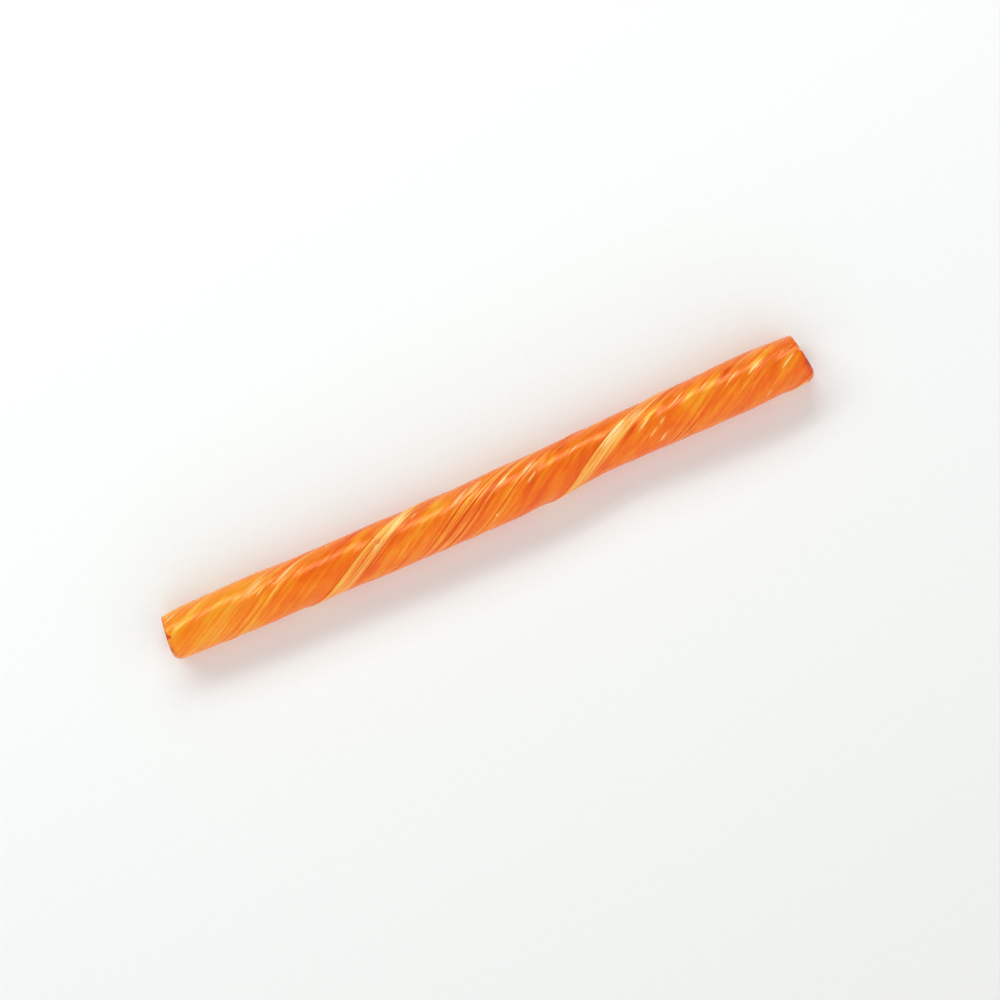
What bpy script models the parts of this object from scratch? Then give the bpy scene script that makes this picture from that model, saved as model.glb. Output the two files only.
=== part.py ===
"""A hard candy stick: one piece of pulled and twisted orange sugar, lying on its side.

The stick runs along X. Fibres of pulled sugar wind round it as a left-handed helix, and one long
seam, where the sheet of sugar laps over itself, winds with them. Both ends are cut a little
slanting. Metres, +Z up, origin under the middle of the stick, on the level that it rests on.

Angles round the stick are measured about +X, from +Y towards +Z. A fibre is named by the angle
that it would have at the middle of the stick.
"""

import math

import bmesh
import bpy
import numpy as np

MM = 0.001
NAME = "candy_stick"

# Thickness, and the sideways place of the middle line, at places along the stick.
STATIONS = np.array((-66.0, -62.5, -56.0, -36.0, -8.0, 13.0, 24.0, 36.0, 51.0, 59.0, 62.5, 66.0)) * MM
THICKNESS = np.array((8.5, 8.8, 9.3, 9.4, 9.65, 9.6, 8.9, 9.45, 9.85, 9.6, 9.2, 8.8)) * MM
SIDE_BOW = np.array((0.75, 0.75, 0.8, 0.45, 0.0, 0.25, 0.75, 0.75, 1.0, 1.05, 1.0, 1.0)) * MM
REST_DEPTH = 0.18 * MM  # how deep the soft stick settled on its underside

# The twist: its rate, and how much the fibres crowd together on one side of the stick.
HALF_LENGTH = 63.5 * MM
TWIST_RATE = math.radians(7.47) / MM
FIBRE_LEAN = 0.22
LEAN_TOWARDS = math.radians(18.0)

# The ends: where each face crosses the axis, its slants, its hollow, and its rims.
LEFT_END = {"place": -63.9 * MM, "slant": 0.12, "tilt": 0.02, "hollow": 0.25 * MM, "soft_rim": 1.9 * MM}
RIGHT_END = {"place": 63.95 * MM, "slant": -0.18, "tilt": -0.03, "hollow": 0.2 * MM, "soft_rim": 1.9 * MM}
SHARP_RIM = 0.15 * MM
END_RADIUS = 4.5 * MM

# Small scoops broken out of the rims: which end, angle round the stick, radius.
CHIPS = (
    (LEFT_END, math.radians(84), 0.8 * MM),
    (LEFT_END, math.radians(120), 0.45 * MM),
    (RIGHT_END, math.radians(70), 0.45 * MM),
    (RIGHT_END, math.radians(262), 0.7 * MM),
)
CHIP_STANDOFF = 0.35  # the scoop's middle lies this share of its radius outside the rim

# The seam: a groove, then a raised band that falls away slowly.
SEAM_FIBRE = math.radians(-95.4)
GROOVE_DEPTH = 0.15 * MM
GROOVE_WIDTH = math.radians(3.0)
BAND_HEIGHT = 0.2 * MM
BAND_RISE = math.radians(5.0)
BAND_WIDTH = math.radians(44.0)

# Folds between the fibres: fibre angle, half width, height.
FOLDS = (
    (math.radians(-19.0), math.radians(9.0), -0.07 * MM),
    (math.radians(31.0), math.radians(11.0), 0.09 * MM),
    (math.radians(67.0), math.radians(8.0), -0.06 * MM),
    (math.radians(105.0), math.radians(10.0), 0.08 * MM),
    (math.radians(145.0), math.radians(7.0), 0.12 * MM),
    (math.radians(161.0), math.radians(7.0), -0.08 * MM),
    (math.radians(208.0), math.radians(20.0), 0.06 * MM),
    (math.radians(246.0), math.radians(10.0), -0.06 * MM),
)
FOLD_BEAT = 34.0 * MM  # the length over which a fold swells and fades
FOLD_FADE = 0.35
OVAL = 0.012
OVAL_FIBRE = math.radians(13.0)

# The mesh: columns of faces follow the fibres, rings go round them.
COLUMNS = 68
FACE_RINGS = 4
RIM_RINGS = 4
SIDE_RINGS = 56
SEAM_CROWDING = 0.5
SETTLING_STEPS = 6

SUGAR_COLOUR = (0.887, 0.216, 0.025, 1.0)
SUGAR_ROUGHNESS = 0.28
SUGAR_COAT = 0.5

CUTTER_MARGIN = 10.0 * MM
CUTTER_DEPTH = 5.0 * MM


def clear_scene():
    for old in list(bpy.data.objects):
        bpy.data.objects.remove(old)


def smooth_along(x, values):
    """The curve that runs smoothly through the values given at STATIONS."""
    slopes = np.gradient(values, STATIONS)
    index = np.clip(np.searchsorted(STATIONS, x) - 1, 0, len(STATIONS) - 2)
    gap = STATIONS[index + 1] - STATIONS[index]
    part = (x - STATIONS[index]) / gap
    blend = part * part * (3 - 2 * part)
    level = values[index] * (1 - blend) + values[index + 1] * blend
    rise = slopes[index] * part * (1 - part) ** 2
    fall = slopes[index + 1] * part**2 * (1 - part)
    return level + gap * (rise - fall)


def lay_angle(turned):
    """The angle round the stick of a fibre that the twist has brought to `turned`."""
    angle = turned.copy()
    for _ in range(SETTLING_STEPS):
        miss = angle + FIBRE_LEAN * np.sin(angle - LEAN_TOWARDS) - turned
        angle -= miss / (1 + FIBRE_LEAN * np.cos(angle - LEAN_TOWARDS))
    return angle


def from_fibre(fibre, centre):
    """The angle from one fibre to another, between -180 and 180 degrees."""
    return np.mod(fibre - centre + math.pi, 2 * math.pi) - math.pi


def seam_relief(fibre):
    beyond = from_fibre(fibre, SEAM_FIBRE)
    groove = -GROOVE_DEPTH * np.exp(-((beyond / GROOVE_WIDTH) ** 2))
    rise = np.clip(beyond / BAND_RISE, 0, 1)
    fall = np.clip(1 - (beyond - BAND_RISE) / BAND_WIDTH, 0, 1)
    return groove + BAND_HEIGHT * np.sin(rise * math.pi / 2) * fall * (beyond > 0)


def fold_relief(fibre, x):
    relief = OVAL * END_RADIUS * np.cos(2 * (fibre - OVAL_FIBRE))
    for centre, width, height in FOLDS:
        across = np.exp(-((from_fibre(fibre, centre) / width) ** 2))
        fade = 1 - FOLD_FADE + FOLD_FADE * np.cos(2 * math.pi * x / FOLD_BEAT + centre)
        relief += height * across * fade
    return relief


def rim_radius(angle, soft_rim):
    """The rim is sharp on the +Y side and soft on the -Y side."""
    softness = ((1 - np.cos(angle)) / 2) ** 2
    return SHARP_RIM + (soft_rim - SHARP_RIM) * softness


def end_place(end, angle, spread, corner):
    """x on an end face or its rim, and how far in from the side the point lies."""
    inward = -math.copysign(1, end["place"])
    rim = rim_radius(angle, end["soft_rim"])
    inset = rim * (1 - np.sin(corner)) + (END_RADIUS - rim) * (1 - spread)
    reach = END_RADIUS - inset
    slope = end["slant"] * np.cos(angle) + end["tilt"] * np.sin(angle)
    sunk = rim * (1 - np.cos(corner)) + end["hollow"] * (1 - spread**2)
    return end["place"] + reach * slope + inward * sunk, inset


def middle_line(x):
    """y and z of the stick's middle line."""
    return smooth_along(x, SIDE_BOW), smooth_along(x, THICKNESS) / 2 - REST_DEPTH


def chipped(points):
    """Each chip leaves the hollow of a ball in the rim."""
    for end, angle, radius in CHIPS:
        outside = CHIP_STANDOFF * radius
        slope = end["slant"] * math.cos(angle) + end["tilt"] * math.sin(angle)
        x = end["place"] + END_RADIUS * slope + math.copysign(outside, end["place"])
        y, z = middle_line(x)
        reach = smooth_along(x, THICKNESS) / 2 + outside
        centre = np.array((x, y + reach * math.cos(angle), z + reach * math.sin(angle)))
        offset = points - centre
        away = np.linalg.norm(offset, axis=1)
        inside = away < radius
        points[inside] = centre + offset[inside] * (radius / away[inside])[:, None]
    return points


def stick_points(fibre, ring):
    """Where each fibre meets each ring, counted from the middle of the left end face."""
    end_rings = FACE_RINGS + RIM_RINGS
    last_ring = 2 * end_rings + SIDE_RINGS
    from_end = np.minimum(ring, last_ring - ring)
    spread = np.clip(from_end / FACE_RINGS, 0, 1)
    corner = np.clip((from_end - FACE_RINGS) / RIM_RINGS, 0, 1) * math.pi / 2
    along = np.clip((ring - end_rings) / SIDE_RINGS, 0, 1)

    x = (along - 0.5) * 2 * HALF_LENGTH
    for _ in range(SETTLING_STEPS):
        angle = lay_angle(fibre - TWIST_RATE * x)
        left, left_inset = end_place(LEFT_END, angle, spread, corner)
        right, right_inset = end_place(RIGHT_END, angle, spread, corner)
        x = left * (1 - along) + right * along
    inset = left_inset * (1 - along) + right_inset * along

    side = smooth_along(x, THICKNESS) / 2 + seam_relief(fibre) + fold_relief(fibre, x)
    radius = side * (1 - inset / END_RADIUS)
    y, z = middle_line(x)
    return chipped(np.stack((x, y + radius * np.cos(angle), z + radius * np.sin(angle)), axis=1))


def sugar_material():
    material = bpy.data.materials.new("orange_sugar")
    material.use_nodes = True
    shader = material.node_tree.nodes["Principled BSDF"]
    shader.inputs["Base Color"].default_value = SUGAR_COLOUR
    shader.inputs["Metallic"].default_value = 0.0
    shader.inputs["Roughness"].default_value = SUGAR_ROUGHNESS
    shader.inputs["Coat Weight"].default_value = SUGAR_COAT
    return material


def drawn_stick():
    """A ball whose rings are drawn out along X: its poles become the middles of the end faces."""
    rings = 2 * (FACE_RINGS + RIM_RINGS) + SIDE_RINGS
    shape = bmesh.new()
    bmesh.ops.create_uvsphere(shape, u_segments=COLUMNS, v_segments=rings, radius=1.0)
    ball = np.array([vertex.co for vertex in shape.verts])
    ring = np.rint(rings * np.arccos(np.clip(-ball[:, 2], -1, 1)) / math.pi)
    column = np.arctan2(ball[:, 1], ball[:, 0])
    fibre = SEAM_FIBRE + column - SEAM_CROWDING * np.sin(column)

    points = stick_points(fibre, ring)
    middle = (points.min(axis=0) + points.max(axis=0)) / 2
    for vertex, point in zip(shape.verts, points):
        vertex.co = (point[0] - middle[0], point[1] - middle[1], point[2])
    bmesh.ops.triangulate(shape, faces=shape.faces, quad_method="SHORT_EDGE")

    mesh = bpy.data.meshes.new(NAME)
    shape.to_mesh(mesh)
    shape.free()
    mesh.shade_smooth()
    mesh.materials.append(sugar_material())
    return bpy.data.objects.new(NAME, mesh)


def rest_cutter(stick):
    """A block that reaches up to the level that the stick rests on."""
    block = bmesh.new()
    bmesh.ops.create_cube(block, size=1.0)
    length, width, _ = stick.dimensions
    sides = (length + CUTTER_MARGIN, width + CUTTER_MARGIN, CUTTER_DEPTH)
    bmesh.ops.scale(block, vec=sides, verts=block.verts)
    bmesh.ops.translate(block, vec=(0, 0, -CUTTER_DEPTH / 2), verts=block.verts)
    mesh = bpy.data.meshes.new("rest_cutter")
    block.to_mesh(mesh)
    block.free()
    cutter = bpy.data.objects.new("rest_cutter", mesh)
    cutter.hide_render = True
    cutter.display_type = "WIRE"
    return cutter


def rest_on_flat(stick, cutter):
    cut = stick.modifiers.new("flat_rest", "BOOLEAN")
    cut.operation = "DIFFERENCE"
    cut.solver = "EXACT"
    cut.object = cutter


def main():
    clear_scene()
    parts = bpy.data.collections.new(NAME)
    cutters = bpy.data.collections.new("cutters")
    bpy.context.scene.collection.children.link(parts)
    bpy.context.scene.collection.children.link(cutters)

    stick = drawn_stick()
    parts.objects.link(stick)
    cutter = rest_cutter(stick)
    cutters.objects.link(cutter)
    rest_on_flat(stick, cutter)


main()
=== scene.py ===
import math

import bmesh
import bpy
import numpy as np
from mathutils import Matrix, Vector


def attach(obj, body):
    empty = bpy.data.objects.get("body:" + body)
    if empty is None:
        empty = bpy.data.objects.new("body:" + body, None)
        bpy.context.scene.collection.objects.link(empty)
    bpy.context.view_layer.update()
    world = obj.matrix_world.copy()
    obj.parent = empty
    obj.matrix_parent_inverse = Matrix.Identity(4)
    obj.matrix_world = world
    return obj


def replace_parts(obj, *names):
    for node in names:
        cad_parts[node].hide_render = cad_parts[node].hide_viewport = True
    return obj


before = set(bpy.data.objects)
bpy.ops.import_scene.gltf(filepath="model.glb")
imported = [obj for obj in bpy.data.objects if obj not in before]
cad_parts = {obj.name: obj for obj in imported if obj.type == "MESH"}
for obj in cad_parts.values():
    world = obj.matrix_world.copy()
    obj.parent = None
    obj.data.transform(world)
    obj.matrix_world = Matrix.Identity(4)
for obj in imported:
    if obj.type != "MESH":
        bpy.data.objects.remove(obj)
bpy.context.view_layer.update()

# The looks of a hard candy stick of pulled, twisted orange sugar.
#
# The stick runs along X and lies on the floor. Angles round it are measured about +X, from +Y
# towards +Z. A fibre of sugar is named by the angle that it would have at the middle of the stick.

MM = 0.001

# ---------------------------------------------------------------- form, as in the construction

# The stick's thickness and its sideways bow, at stations along its axis.
STATIONS = np.array((-66.0, -62.5, -56.0, -36.0, -8.0, 13.0, 24.0, 36.0, 51.0, 59.0, 62.5, 66.0)) * MM
THICKNESS = np.array((8.5, 8.8, 9.3, 9.4, 9.65, 9.6, 8.9, 9.45, 9.85, 9.6, 9.2, 8.8)) * MM
SIDE_BOW = np.array((0.75, 0.75, 0.8, 0.45, 0.0, 0.25, 0.75, 0.75, 1.0, 1.05, 1.0, 1.0)) * MM
REST_DEPTH = 0.18 * MM  # how much lower the stick sits than a round one, on its flat
AXIS_BOW = 1.0 * MM  # the photograph's axis line, across from the bow's zero line

HALF_LENGTH = 63.5 * MM
TWIST_RATE = math.radians(7.47) / MM
FIBRE_LEAN = 0.22
LEAN_TOWARDS = math.radians(18.0)

# Each end: its place on the axis, its slant and tilt, its hollow, and the soft side of its rim.
LEFT_END = {"place": -63.9 * MM, "slant": 0.12, "tilt": 0.02, "hollow": 0.25 * MM, "soft_rim": 1.9 * MM}
RIGHT_END = {"place": 63.95 * MM, "slant": -0.18, "tilt": -0.03, "hollow": 0.2 * MM, "soft_rim": 1.9 * MM}
SHARP_RIM = 0.15 * MM
END_RADIUS = 4.5 * MM

# Nicks in the rims: end, angle round the stick, radius, and whether its bottom is red (1) or pale (-1).
CHIPS = (
    (LEFT_END, math.radians(84), 0.8 * MM, 1),
    (LEFT_END, math.radians(120), 0.45 * MM, 1),
    (RIGHT_END, math.radians(70), 0.45 * MM, -1),
    (RIGHT_END, math.radians(262), 0.7 * MM, 1),
)
CHIP_STANDOFF = 0.35

SEAM_FIBRE = math.radians(-95.4)
GROOVE_DEPTH = 0.10 * MM
GROOVE_WIDTH = math.radians(2.0)
BAND_HEIGHT = 0.2 * MM
BAND_RISE = math.radians(5.0)
BAND_WIDTH = math.radians(44.0)

# Soft folds: fibre angle, half width, height.
FOLDS = (
    (math.radians(-19.0), math.radians(9.0), -0.07 * MM),
    (math.radians(31.0), math.radians(11.0), 0.09 * MM),
    (math.radians(67.0), math.radians(8.0), -0.06 * MM),
    (math.radians(105.0), math.radians(10.0), 0.08 * MM),
    (math.radians(145.0), math.radians(7.0), 0.12 * MM),
    (math.radians(161.0), math.radians(7.0), -0.08 * MM),
    (math.radians(208.0), math.radians(20.0), 0.06 * MM),
    (math.radians(246.0), math.radians(10.0), -0.06 * MM),
)
FOLD_BEAT = 34.0 * MM
FOLD_FADE = 0.35
OVAL = 0.012
OVAL_FIBRE = math.radians(13.0)

# ---------------------------------------------------------------- fine form, seen only here

# The skin's mesh: columns round the stick, and rings over each end face, each rim and the side.
COLUMNS = 480
FACE_RINGS = 18
RIM_RINGS = 7
SIDE_RINGS = 144
SEAM_CROWDING = 0.35
SETTLING_STEPS = 6

# Broken strands on the end faces: cells round the face, cell width, height, seed of the draws.
FACE_GRAIN = (
    (9, 1.3 * MM, 0.16 * MM, 31),
    (24, 0.7 * MM, 0.07 * MM, 32),
    (60, 0.4 * MM, 0.03 * MM, 33),
)
FACE_SWIRL = 2.4
FACE_FADE = 5  # how quickly lines and creases end from the rim inwards

# Fine lines between the fibres: cells round the stick, cell length, height, seed of the draws.
STRIAE = (
    (24, 12.0 * MM, 0.034 * MM, 10),
    (52, 14.0 * MM, 0.022 * MM, 11),
    (96, 10.0 * MM, 0.011 * MM, 12),
    (160, 7.0 * MM, 0.005 * MM, 13),
)
# Where the lines are strong: fibre angle, half width, strength, the share of it left far from the middle.
STRIAE_GROUPS = (
    (math.radians(-72.0), math.radians(24.0), 1.0, 0.95),
    (math.radians(76.0), math.radians(38.0), 1.0, 0.55),
    (math.radians(138.0), math.radians(12.0), 0.8, 0.5),
    (math.radians(-24.0), math.radians(20.0), 0.42, 0.4),
    (math.radians(30.0), math.radians(22.0), 0.65, 0.35),
)
STRIAE_FLOOR = 0.13
STRIAE_MIDDLE = -2.0 * MM
STRIAE_REACH = 30.0 * MM
# The lines come and go along the stick: cells round it, cell length and seed, middle level and swing.
PRESENCE = (9, 16.0 * MM, 21)
PRESENCE_LEVEL = 0.75
PRESENCE_SWING = 0.5

# The amber left end, and how much of the lines it hides.
AMBER_END = -32.0 * MM
AMBER_FADE = 22.0 * MM
AMBER_HIDES = 0.3

# The pale colour of the seam's band. Red patches, and the painted shade along the far edge, take some of
# it away.
PALE_WIDTH = math.radians(30.0)
PALE_FADE = math.radians(16.0)
BAND_FADE = 3.0

# Sharp creases: fibre angle, half width, depth.
CREASES = (
    (math.radians(-86.0), math.radians(1.0), 0.04 * MM),
    (math.radians(-80.5), math.radians(0.9), 0.03 * MM),
    (math.radians(-75.5), math.radians(1.1), 0.05 * MM),
    (math.radians(-70.0), math.radians(0.9), 0.04 * MM),
    (math.radians(-66.0), math.radians(1.1), 0.06 * MM),
    (math.radians(-60.5), math.radians(1.0), 0.05 * MM),
    (math.radians(-54.5), math.radians(1.2), 0.06 * MM),
    (math.radians(-48.0), math.radians(1.0), 0.04 * MM),
    (math.radians(-43.0), math.radians(1.3), 0.04 * MM),
    (math.radians(15.0), math.radians(1.2), 0.05 * MM),
    (math.radians(48.0), math.radians(1.3), 0.06 * MM),
    (math.radians(83.0), math.radians(1.2), 0.05 * MM),
    (math.radians(94.0), math.radians(1.1), 0.06 * MM),
    (math.radians(121.0), math.radians(1.3), 0.05 * MM),
    (math.radians(138.0), math.radians(1.2), 0.07 * MM),
    (math.radians(152.0), math.radians(1.0), 0.05 * MM),
)
# They come and go along the stick: cells round it, cell length and first seed, gain and what is cut off.
CREASE_PRESENCE = (12, 14.0 * MM, 40)
CREASE_GAIN = 1.6
CREASE_GAPS = 0.2
# Painted shade: the creases are coloured darker the deeper they are, and the seam's groove is darkened
# along its line.
CREASE_FULL = 0.06 * MM  # the depth at which a crease is at its darkest
SEAM_SHADE = 0.8
SEAM_SHADE_WIDTH = 0.8 * GROOVE_WIDTH

# From here on, marks that show from above are placed in millimetres, along the stick and across it.
# Painted glints: short cream dashes where bright fibres catch the light, each with a slight real ridge:
# place along, place across, length, half width.
PAINTED_GLINT_DASHES = (
    (-61.7, 3.2, 2.4, 0.15),
    (-44.6, 1.0, 2.0, 0.12),
    (-38.6, 2.5, 5.0, 0.12),
    (-36.0, 3.3, 2.2, 0.10),
    (-21.8, -0.2, 1.8, 0.22),
    (-20.2, 2.2, 2.6, 0.08),
    (-18.4, 1.3, 2.2, 0.14),
    (-16.9, 2.2, 2.8, 0.15),
    (-16.0, 2.7, 3.0, 0.17),
    (-15.3, 3.1, 2.6, 0.14),
    (-13.3, 2.3, 1.8, 0.16),
    (-4.6, 1.8, 4.2, 0.14),
    (3.7, 1.4, 2.0, 0.20),
    (5.4, 2.3, 2.6, 0.10),
    (9.0, 1.8, 2.4, 0.18),
    (9.2, 0.0, 2.2, 0.18),
    (10.2, 1.8, 2.2, 0.13),
    (18.2, 1.5, 1.6, 0.12),
    (24.4, 0.2, 2.0, 0.15),
    (25.2, 1.1, 2.6, 0.12),
    (26.3, 1.6, 3.0, 0.19),
    (26.9, 1.2, 2.2, 0.14),
    (27.7, 2.1, 2.6, 0.14),
    (31.2, 2.4, 2.6, 0.15),
    (31.8, 0.5, 2.4, 0.22),
    (32.9, -1.5, 1.3, 0.17),
    (34.9, -0.4, 1.3, 0.18),
    (34.2, -3.0, 2.0, 0.22),
    (38.8, 2.1, 4.0, 0.10),
    (44.7, 2.5, 2.2, 0.08),
    (49.8, 1.7, 3.4, 0.08),
    (54.2, 1.8, 2.4, 0.20),
    (55.4, 2.3, 2.0, 0.13),
    (55.0, -3.6, 1.2, 0.10),
    (60.6, 0.5, 3.4, 0.18),
    (61.0, 2.3, 1.0, 0.10),
    (62.6, 2.8, 1.0, 0.08),
)
# Painted glints in clusters: bright fibres catching the light, with darker ones between them: place
# along, place across, length, half width.
PAINTED_GLINT_CLUSTERS = (
    (-45.4, 2.3, 5.6, 0.6),
    (-38.6, 2.4, 5.0, 0.5),
    (-21.8, -0.2, 2.4, 0.5),
    (-16.3, 2.5, 4.4, 0.8),
    (-4.4, 1.8, 4.4, 0.6),
    (-1.2, 2.4, 3.6, 0.6),
    (3.8, 1.4, 2.8, 0.55),
    (9.2, 1.8, 3.4, 0.6),
    (24.2, 0.2, 2.8, 0.5),
    (26.6, 1.5, 4.6, 0.9),
    (30.8, 2.5, 3.6, 0.5),
)
GLINT_PITCH = 0.5 * MM
GLINT_DARK = 0.9
DASH_HEIGHT = 0.02 * MM

# Single lines: place along, place across, length, half width, and how light (+) or dark (-) each is.
LINES = (
    (-57.6, 2.8, 4.0, 0.10, 0.6),
    (-54.5, -3.0, 4.5, 0.10, 0.4),
    (-51.0, -1.2, 5.0, 0.09, 0.4),
    (-48.5, -2.6, 9.0, 0.13, 0.9),
    (-43.4, -0.7, 5.0, 0.12, 0.7),
    (-53.0, 2.2, 5.0, 0.08, 0.5),
    (-46.8, 1.7, 6.0, 0.08, 0.9),
    (-45.8, 1.7, 5.0, 0.07, -0.8),
    (-45.4, 2.1, 6.0, 0.08, 0.9),
    (-44.6, 2.2, 5.0, 0.07, -0.7),
    (-43.8, 2.6, 5.0, 0.08, 0.8),
    (-42.5, 2.9, 5.0, 0.08, 0.7),
    (-37.6, 1.0, 5.0, 0.09, 0.6),
    (-35.2, 1.2, 4.0, 0.08, -0.5),
    (-30.6, 1.9, 4.0, 0.08, 0.7),
    (-29.6, 1.7, 4.0, 0.08, -0.6),
    (-28.6, 2.0, 4.0, 0.09, 0.8),
    (-27.4, 1.8, 4.0, 0.08, -0.6),
    (-26.4, 2.0, 4.0, 0.08, 0.7),
    (-22.8, -2.9, 6.0, 0.09, 0.35),
    (-22.4, 0.3, 5.0, 0.08, -0.8),
    (-21.5, -1.4, 7.0, 0.10, 0.45),
    (-20.4, 0.9, 6.0, 0.08, -0.9),
    (-20.0, -2.2, 7.0, 0.09, 0.4),
    (-19.6, 0.6, 5.0, 0.08, 0.9),
    (-18.8, 1.0, 5.0, 0.08, -0.8),
    (-18.6, 1.8, 4.0, 0.07, -0.8),
    (-18.0, -1.2, 6.0, 0.09, -0.4),
    (-17.6, 2.0, 4.0, 0.07, -0.9),
    (-17.2, -2.6, 7.0, 0.10, 0.5),
    (-16.2, -1.7, 6.0, 0.09, 0.45),
    (-16.2, 2.25, 4.0, 0.07, -0.8),
    (-15.6, 2.8, 3.0, 0.07, -0.7),
    (-15.2, -0.8, 5.0, 0.09, 0.4),
    (-13.5, -3.2, 8.0, 0.09, 0.5),
    (-9.5, -2.9, 8.0, 0.09, 0.5),
    (-6.8, -3.4, 6.0, 0.08, -0.5),
    (-6.6, 0.4, 5.0, 0.08, -0.6),
    (-5.2, 0.6, 6.0, 0.08, 0.8),
    (-4.0, 0.9, 6.0, 0.08, -0.8),
    (-3.6, -1.2, 9.0, 0.10, 0.6),
    (-2.8, 0.9, 6.0, 0.08, 0.8),
    (-1.2, -0.4, 9.0, 0.10, -0.8),
    (-0.6, -2.3, 8.0, 0.09, 0.5),
    (2.2, 0.5, 9.0, 0.10, -0.9),
    (2.7, 1.1, 8.0, 0.12, 0.9),
    (3.4, 1.0, 6.0, 0.08, -0.6),
    (9.4, -1.6, 6.0, 0.09, 0.35),
    (10.8, -0.6, 6.0, 0.09, 0.4),
    (11.4, 1.2, 4.0, 0.08, 0.6),
    (12.0, 2.4, 4.0, 0.10, 0.5),
    (12.2, -1.2, 6.0, 0.09, -0.35),
    (12.6, 1.3, 4.0, 0.08, -0.5),
    (13.2, 2.6, 4.0, 0.09, 0.6),
    (13.6, -0.4, 5.0, 0.10, 0.4),
    (14.6, 2.2, 4.0, 0.09, -0.5),
    (15.6, 2.9, 3.0, 0.09, 0.5),
    (18.3, 0.3, 4.0, 0.08, 0.6),
    (18.9, -0.2, 3.4, 0.08, 0.5),
    (19.5, 0.4, 3.0, 0.08, -0.5),
    (31.0, -2.1, 3.4, 0.11, 0.6),
    (39.0, 2.2, 4.2, 0.12, 0.7),
    (41.0, -3.8, 6.0, 0.09, 0.35),
    (43.5, -3.2, 8.0, 0.09, 0.4),
    (46.0, -3.4, 7.0, 0.09, 0.35),
    (50.2, 1.9, 4.4, 0.11, 0.7),
    (54.3, -0.4, 5.0, 0.12, 0.8),
    (55.2, -0.9, 4.6, 0.10, 0.6),
    (54.9, -0.7, 4.0, 0.08, -0.6),
)
# More lines, strewn all round, in one strong group and over the pale band: how many, between which
# fibres, lengths, half widths and strengths.
LINE_GROUPS = (
    (
        900,
        (0.0, 2 * math.pi),
        (4.0 * MM, 15.0 * MM),
        (math.radians(0.6), math.radians(1.4)),
        (0.3, 1.0),
    ),
    (
        220,
        (math.radians(40.0), math.radians(112.0)),
        (6.0 * MM, 16.0 * MM),
        (math.radians(0.8), math.radians(1.2)),
        (0.6, 1.0),
    ),
    (
        84,
        (SEAM_FIBRE + math.radians(5.0), SEAM_FIBRE + math.radians(45.0)),
        (10.0 * MM, 28.0 * MM),
        (math.radians(0.7), math.radians(1.3)),
        (0.6, 1.0),
    ),
)
LINE_DRIFT = math.radians(0.25) / MM
LIGHT_SHARE = 0.58
LINE_SEED = 12
LINE_HEIGHT = 0.024 * MM

# Grains of sugar stuck to the upper side: place along, place across, radius. The others are strewn.
GRAINS = ((-30.3, 3.6, 0.20), (0.6, -3.75, 0.17), (54.9, 1.75, 0.14))
STREWN_GRAINS = 9
GRAIN_RADII = (0.10, 0.20)
GRAIN_SEED = 4
GRAIN_WIDTHS = (0.7, 1.0)
GRAIN_HEIGHT = 0.6
# Bubbles that burst at the surface and left a low ring, given in the same way.
BUBBLES = ((-21.3, 0.6, 0.34),)
STREWN_BUBBLES = 3
BUBBLE_RADII = (0.2, 0.4)
BUBBLE_SEED = 8
BUBBLE_RIM = 0.09 * MM
BUBBLE_RIM_SIDES = 8
BUBBLE_STEPS = 28
# Strewn marks: how far along the stick, and how far round from its lowest line, clear of the flat.
STREWN_REACH = 58.0
DOWNWARD = math.radians(270.0)
OFF_THE_FLAT = (math.radians(38.0), math.radians(75.0))

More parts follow.
